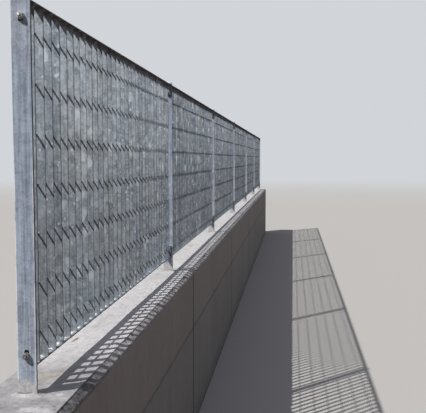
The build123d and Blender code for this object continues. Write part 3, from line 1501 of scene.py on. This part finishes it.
@dataclass
class Gratings:
    """Panels of upright flats with round rods pressed into their back edges."""

    row: Row
    bar_pitch: float = 0.063
    bar_depth: float = 0.025
    bar_thickness: float = 0.002
    bar_corner: float = 0.0005
    end_bar_thickness: float = 0.004
    end_bar_corner: float = 0.0007
    end_space: float = 0.040
    rod_pitch: float = 0.132
    rod_diameter: float = 0.005
    rod_sides: int = 12
    rod_proud: float = 0.0005
    rod_overhang: float = 0.004
    rod_edge_space: float = 0.040
    frame_thickness: float = 0.004
    frame_corner: float = 0.0009
    lug_width: float = 0.040
    lug_height: float = 0.064
    lug_corner: float = 0.003
    hole: float = 0.012
    bar_turn: ThreeLimits = ((-0.0012, 0.0012), (-0.0006, 0.0006), (-0.03, 0.03))
    bead: ThreeLimits = ((0.0034, 0.0050), (0.0027, 0.0032), (0.0034, 0.0046))
    weld: ThreeLimits = ((0.0020, 0.0034), (0.0045, 0.0090), (0.0014, 0.0024))
    bar_tone: Limits = (-0.15, 0.15)
    end_bar_tone: Limits = (-0.10, 0.0)
    # Painted sheen, in part: the first panel, nearest the camera, is left lighter than the farther
    # ones, standing in for the sun's sheen; their differences among themselves are tone.
    panel_sheen_tones: tuple[float, ...] = (0.0, -0.20, -0.14, -0.24, -0.12, -0.18)

    def build(self, finish: bpy.types.Material) -> None:
        """Make every panel from one tree.

        Args:
            finish: the grating's steel.
        """
        recipe = self._recipe(finish)
        for number, (x, tone) in enumerate(zip(self.row.posts, self.panel_sheen_tones), start=1):
            sizes = {"Start": x + self.row.post_thickness / 2, "Seed": 11 * number, "Tone": tone}
            dress(recipe.make(f"grating_{number}", sizes), finish, Slot.GRATING, f"panel_{number}")

    def _recipe(self, finish: bpy.types.Material) -> Recipe:
        """Lay out one panel in nodes, from its start along X.

        Args:
            finish: the material to set at the end.

        Returns:
            The tree.
        """
        length = self.row.pitch() - self.row.post_thickness
        height = self.row.panel_top - self.row.panel_bottom
        r = Recipe("grating_panel", {
            "Start": 0.0, "Length": length, "Bottom": self.row.panel_bottom, "Height": height,
            "Fence Y": self.row.fence_y,
            "Bars": int((length - 2 * self.end_space) / self.bar_pitch) + 1,
            "Bar Pitch": self.bar_pitch, "Bar Depth": self.bar_depth,
            "Bar Thickness": self.bar_thickness, "End Bar Thickness": self.end_bar_thickness,
            "Rods": int((height - 2 * self.rod_edge_space) / self.rod_pitch) + 1,
            "Rod Pitch": self.rod_pitch, "Rod Diameter": self.rod_diameter,
            "Frame Thickness": self.frame_thickness, "Tone": 0.0, "Seed": 1,
        })
        across = (r.size("Bars") - 1) * r.size("Bar Pitch")
        upward = (r.size("Rods") - 1) * r.size("Rod Pitch")
        first_bar = r.size("Start") + (r.size("Length") - across) / 2
        first_rod = r.size("Bottom") + (r.size("Height") - upward) / 2
        bars, crossed = self._bars(r, first_bar), self._rods(r, first_bar, first_rod)
        r.close(r.join(bars, *crossed, *self._frame(r), self._lugs(r)), finish)
        return r

    def _bars(self, r: Recipe, first_bar: Link) -> Link:
        """The upright flats, each turned and toned a little its own way.

        Args:
            r: the panel's tree.
            first_bar: where the first flat stands.

        Returns:
            The flats.
        """
        frame, depth, pitch = r.size("Frame Thickness"), r.size("Bar Depth"), r.size("Bar Pitch")
        height = r.size("Height") - frame
        foot = r.size("Bottom") + frame / 2
        bar = r.prism(r.size("Bar Thickness"), depth, height, self.bar_corner)
        end_bar = r.prism(r.size("End Bar Thickness"), depth, height, self.end_bar_corner)
        start = r.vector(first_bar + pitch, r.size("Fence Y"), foot)
        points = r.row(start, r.vector(pitch, 0.0, 0.0), r.size("Bars") - 2)
        end_start = r.vector(first_bar, r.size("Fence Y"), foot)
        end_points = r.row(end_start, r.vector((r.size("Bars") - 1) * pitch, 0.0, 0.0), 2)
        turn = r.scatter(self.bar_turn, 3, 4, r.size("Seed"))
        tones = r.chance(*self.bar_tone, r.size("Seed") + 5) + r.size("Tone")
        inner = r.marked(r.copies(points, bar, turn), "tone", tones)
        ends = r.marked(r.copies(end_points, end_bar), "tone", r.chance(*self.end_bar_tone, 6))
        return r.join(inner, ends)

    def _rods(self, r: Recipe, first_bar: Link, first_rod: Link) -> list[Link]:
        """The cross rods, the nodules where they are pressed in, and the welds to the frame.

        Args:
            r: the panel's tree.
            first_bar: where the first flat stands.
            first_rod: how high the first rod lies.

        Returns:
            The rods, the nodules and the welds.
        """
        middle_y, pitch, frame = r.size("Fence Y"), r.size("Bar Pitch"), r.size("Frame Thickness")
        rod_y = middle_y + r.size("Bar Depth") / 2 - r.size("Rod Diameter") / 2 + self.rod_proud
        rod = r.laid(r.node("GeometryNodeMeshCylinder", {
            "Vertices": self.rod_sides, "Radius": r.size("Rod Diameter") / 2,
            "Depth": (r.size("Bars") - 1) * pitch + self.end_bar_thickness + 2 * self.rod_overhang,
        }, fill_type="NGON"))
        rod_step = r.vector(0.0, 0.0, r.size("Rod Pitch"))
        rod_start = r.vector(r.size("Start") + r.size("Length") / 2, rod_y, first_rod)
        rods = r.copies(r.row(rod_start, rod_step, r.size("Rods")), rod)

        bead = r.node("GeometryNodeMeshIcoSphere", {"Radius": 1.0, "Subdivisions": 2})
        line = r.row(r.vector(first_bar, rod_y, 0.0), r.vector(pitch, 0.0, 0.0), r.size("Bars"))
        bead_line = r.copies(line, bead, scale=r.scatter(self.bead, 7, 8, 9))
        levels = r.row(r.vector(0.0, 0.0, first_rod), rod_step, r.size("Rods"))
        beads = r.copies(levels, bead_line)
        weld_line = r.copies(line, bead, scale=r.scatter(self.weld, 17, 18, 19))
        low, high = r.size("Bottom") + frame, r.size("Bottom") + r.size("Height") - frame
        welds = [r.moved(weld_line, r.vector(0.0, middle_y - rod_y, z)) for z in (low, high)]
        return [rods, beads, r.join(*welds)]

    def _frame(self, r: Recipe) -> list[Link]:
        """The flats along the bottom and the top.

        Args:
            r: the panel's tree.

        Returns:
            The two flats.
        """
        frame = r.size("Frame Thickness")
        flat = r.laid(r.prism(frame, r.size("Bar Depth"), r.size("Length"), self.frame_corner))
        low = r.size("Bottom") + frame / 2
        high = r.size("Bottom") + r.size("Height") - frame / 2
        return [r.moved(flat, r.vector(r.size("Start"), r.size("Fence Y"), z)) for z in (low, high)]

    def _lugs(self, r: Recipe) -> Link:
        """The four drilled corner plates of a panel.

        Args:
            r: the panel's tree.

        Returns:
            The plates.
        """
        start, thickness, half = r.size("Start"), self.row.lug_thickness, self.lug_height / 2
        drop = half - self.row.bolt_inset
        low = (r.size("Bottom") + half, self.row.lower_sag + drop)
        high = (r.size("Bottom") + (r.size("Height") - half), self.row.upper_sag - drop)
        made = []
        for z, hole_x in (low, high):
            rim = r.rectangle(self.lug_height, self.lug_width, self.lug_corner, 3)
            hole = {"Resolution": 24, "Radius": self.hole / 2}
            circle = r.moved(r.node("GeometryNodeCurvePrimitiveCircle", hole), (hole_x, 0, 0))
            lug = r.laid(r.slab(r.join(rim, circle), thickness, 1e-5))
            for x in (start, start + (r.size("Length") - thickness)):
                made.append(r.moved(lug, r.vector(x, r.size("Fence Y"), z)))
        return r.join(*made)


@dataclass
class Fixings:
    """Bolts through the posts and the lugs: washer, nut and thread in front, head behind."""

    row: Row
    across_flats: float = 0.0155
    nut: float = 0.0085
    nut_cut: float = 0.0012
    head: float = 0.0064
    head_cut: float = 0.0014
    washer: float = 0.0022
    washer_reach: float = 0.0092
    washer_rim: float = 0.0004
    washer_sides: int = 28
    overlap: float = 0.0002
    thread: float = 0.0048
    thread_pitch: float = 0.0015
    thread_depth: float = 0.0008
    thread_sides: int = 16
    nut_sides: int = 24
    spare: float = 0.0044

    def build(self, finish: bpy.types.Material) -> None:
        """Make the bolts of the first post, of the posts between panels and of the last post.

        Args:
            finish: the bolts' zinc.
        """
        post = self.row.post_thickness / 2
        both = post + self.row.lug_thickness
        near, far = self._near_side(), self._far_side()
        recipe = self._recipe(finish, near, far)
        groups = (("bolts_first", 0, 1, post, both), ("bolts_middle", 1, 5, both, both),
                  ("bolts_last", 6, 1, both, post))
        for name, first, count, grip_near, grip_far in groups:
            sizes = {"Start": self.row.posts[first], "Pitch": self.row.pitch(), "Posts": count,
                     "Near Grip": grip_near, "Far Grip": grip_far, "Seed": 3 + first}
            dress(recipe.make(name, sizes), finish, Slot.POST)
        for half in (near, far):
            bpy.data.objects.remove(half)

    def _washer(self, way: float) -> Solid:
        """A washer that lies against the steel.

        Args:
            way: -1 for the near side and 1 for the far side.

        Returns:
            Its points and faces.
        """
        inside, face, reach = -0.001, self.washer, self.washer_reach
        rows = ((inside, 0.0), (inside, reach), (face - self.washer_rim, reach),
                (face, reach - self.washer_rim), (face, 0.0))
        return turned([(way * x, radius) for x, radius in rows], self.washer_sides)

    def _near_side(self) -> bpy.types.Object:
        """Make the washer, nut and threaded end, which stand out along -X from the origin.

        Returns:
            An object that the tree copies.
        """
        flat, face, bore = self.across_flats / 2, self.washer, self.thread + 0.0001
        nut_end = face + self.nut
        end = nut_end + self.spare
        nut = turned([
            (-face + self.overlap, bore), (-face + self.overlap, flat * 1.01),
            (-face - self.nut_cut, math.inf), (-nut_end + self.nut_cut, math.inf),
            (-nut_end, flat * 0.99), (-nut_end, bore),
        ], self.nut_sides, flat)
        rows = [(0.004, 0.0), (0.004, self.thread)]
        for i in range(int(end / self.thread_pitch)):
            rows.append((-i * self.thread_pitch, self.thread - self.thread_depth))
            rows.append((-(i + 0.5) * self.thread_pitch, self.thread))
        rows += [(-end + 0.0008, self.thread - 0.0006), (-end, self.thread - 0.0018), (-end, 0.0)]
        thread = turned(rows, self.thread_sides)
        mesh = mesh_of("near_side", *gathered([self._washer(-1.0), nut, thread]))
        self._mark_thread(mesh)
        return add_object("near_side", mesh)

    def _mark_thread(self, mesh: bpy.types.Mesh) -> None:
        """Mark the thread's points with 1 and those of its cut end with -1.

        Args:
            mesh: the near side's mesh.
        """
        marks = mesh.attributes.new("thread", "FLOAT", "POINT")
        for mark, vertex in zip(marks.data, mesh.vertices):
            out = math.hypot(vertex.co.y, vertex.co.z) - self.thread
            mark.value = float(out < 0.00005) - 2.0 * float(out < -0.0012)

    def _far_side(self) -> bpy.types.Object:
        """Make the washer and head, which stand out along +X from the origin.

        Returns:
            An object that the tree copies.
        """
        flat, face = self.across_flats / 2, self.washer
        end = face + self.head
        head = turned([
            (face - self.overlap, 0.0), (face - self.overlap, math.inf),
            (end - self.head_cut, math.inf), (end, flat * 0.98), (end, 0.0),
        ], self.nut_sides, flat)
        shank_rows = [(-0.012, 0.0), (-0.012, self.thread), (face, self.thread), (face, 0.0)]
        shank = turned(shank_rows, self.thread_sides)
        mesh = mesh_of("far_side", *gathered([self._washer(1.0), head, shank]))
        return add_object("far_side", mesh)

    def _recipe(
        self, finish: bpy.types.Material, near: bpy.types.Object, far: bpy.types.Object
    ) -> Recipe:
        """Set both halves of a bolt at two heights on each post, each nut turned its own way.

        Args:
            finish: the material to set at the end.
            near: the half with the nut.
            far: the half with the head.

        Returns:
            The tree.
        """
        row = self.row
        r = Recipe("bolt_rows", {
            "Start": 0.0, "Pitch": row.pitch(), "Posts": 1, "Near Grip": 0.004, "Far Grip": 0.009,
            "Fence Y": row.fence_y, "Lower": row.panel_bottom + row.bolt_inset - row.lower_sag,
            "Upper": row.panel_top - row.bolt_inset - row.upper_sag, "Seed": 1,
        })
        made = []
        for level, salt in (("Lower", 10), ("Upper", 40)):
            for half, grip in ((near, -1.0 * r.size("Near Grip")), (far, r.size("Far Grip"))):
                part = r.node("GeometryNodeObjectInfo", {"Object": half}).output("Geometry")
                place = r.vector(r.size("Start") + grip, r.size("Fence Y"), r.size(level))
                points = r.row(place, r.vector(r.size("Pitch"), 0.0, 0.0), r.size("Posts"))
                turn = r.chance(0.0, 6.28, r.size("Seed") + salt)
                made.append(r.copies(points, part, r.vector(turn, 0.0, 0.0)))
        r.close(r.join(*made), finish)
        return r


@dataclass(frozen=True)
class Studio:
    """A pale floor, one sun from behind the fence, and soft light from all round."""

    sun_way: Point = (1.05, -1.0, -1.58)
    sun_strength: float = 3.8
    sun_angle: float = math.radians(0.6)
    sun_colour: Colour = (1.0, 0.975, 0.94)
    sky: Colour = (0.84, 0.85, 1.0)
    sky_strength: float = 0.38
    sky_low: float = 0.02
    backdrop: Colour = (0.64, 0.66, 0.69)
    floor_pale: Colour = (0.50, 0.49, 0.47)
    floor_bounce: Colour = (0.112, 0.088, 0.070)
    floor_fade: Span = (12.0, 45.0)
    reach: float = 90.0
    eye: Point = (-7.6615, -0.6615, 1.4893)
    yaw: float = 0.11471
    pitch: float = 0.06946
    focal_pixels: float = 692.59
    picture_width: float = 426.0
    film_width: float = 36.0

    def build(self) -> None:
        """Set the whole studio up."""
        bpy.context.scene.view_settings.view_transform = "Standard"
        self._floor()
        self._sun()
        self._world()
        self._camera()

    def _floor(self) -> None:
        """Lay the floor, which fades into the backdrop far away."""
        r = self.reach
        mesh = bpy.data.meshes.new("studio_floor")
        mesh.from_pydata([(-r, -r, 0), (r, -r, 0), (r, r, 0), (-r, r, 0)], [], [(0, 1, 2, 3)])
        floor = add_object("studio_floor", mesh)
        s = Shader("studio_floor")
        seen = s.seen()
        colour = s.blend(seen, self.floor_bounce, self.floor_pale)
        diffuse = s.node("ShaderNodeBsdfDiffuse", {"Color": colour})
        glow = s.node("ShaderNodeEmission", {"Color": (*self.backdrop, 1.0), "Strength": 1.0})
        away = s.math("SQRT", s.x * s.x + s.y * s.y)
        far = s.between(away, *self.floor_fade) * seen
        mixed = s.node("ShaderNodeMixShader", {0: far, 1: diffuse, 2: glow})
        s.node("ShaderNodeOutputMaterial", {"Surface": mixed})
        floor.data.materials.append(s.material)

    def _sun(self) -> None:
        """Hang the sun."""
        lamp = bpy.data.lights.new("sun", "SUN")
        lamp.energy, lamp.angle, lamp.color = self.sun_strength, self.sun_angle, self.sun_colour
        hung = add_object("sun", lamp)
        hung.rotation_euler = Vector(self.sun_way).to_track_quat("-Z", "Y").to_euler()

    def _world(self) -> None:
        """Light the scene softly and show the backdrop behind it."""
        world = bpy.data.worlds.new("studio")
        world.use_nodes = True
        g = Graph(world.node_tree)
        seen = g.seen()
        way = g.node("ShaderNodeTexCoord").output("Generated")
        height = g.node("ShaderNodeSeparateXYZ", {"Vector": way}).output("Z")
        soft = self.sky_low + self.sky_strength * g.math("MAXIMUM", height, 0.0)
        light = g.node("ShaderNodeBackground", {
            "Color": g.blend(seen, self.sky, self.backdrop), "Strength": soft + seen * (1.0 - soft),
        })
        g.node("ShaderNodeOutputWorld", {"Surface": light})
        bpy.context.scene.world = world

    def _camera(self) -> None:
        """Stand the camera beside the first post, looking along the fence."""
        data = bpy.data.cameras.new("camera")
        data.sensor_fit = "HORIZONTAL"
        data.sensor_width = self.film_width
        data.lens = self.focal_pixels * self.film_width / self.picture_width
        data.clip_start, data.clip_end = 0.05, 400.0
        camera = add_object("camera", data)
        camera.location = self.eye
        level = math.cos(self.pitch)
        ahead = Vector(
            (level * math.cos(self.yaw), level * math.sin(self.yaw), -math.sin(self.pitch))
        )
        camera.rotation_euler = ahead.to_track_quat("-Z", "Y").to_euler()
        bpy.context.scene.camera = camera


def main() -> None:
    """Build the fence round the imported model."""
    logging.basicConfig(level=logging.INFO, format="%(name)s %(message)s")
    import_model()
    Studio().build()
    row = Row.read()
    wall = Wall()
    wall.build(ConcreteFinish(row).material())
    Collars(row, wall).build(MortarFinish(row).material())
    Posts(row).build(PostFinish(row).material())
    Gratings(row).build(GratingFinish(row).material())
    Fixings(row).build(ZincFinish().material())


if __name__ == "__main__":
    main()
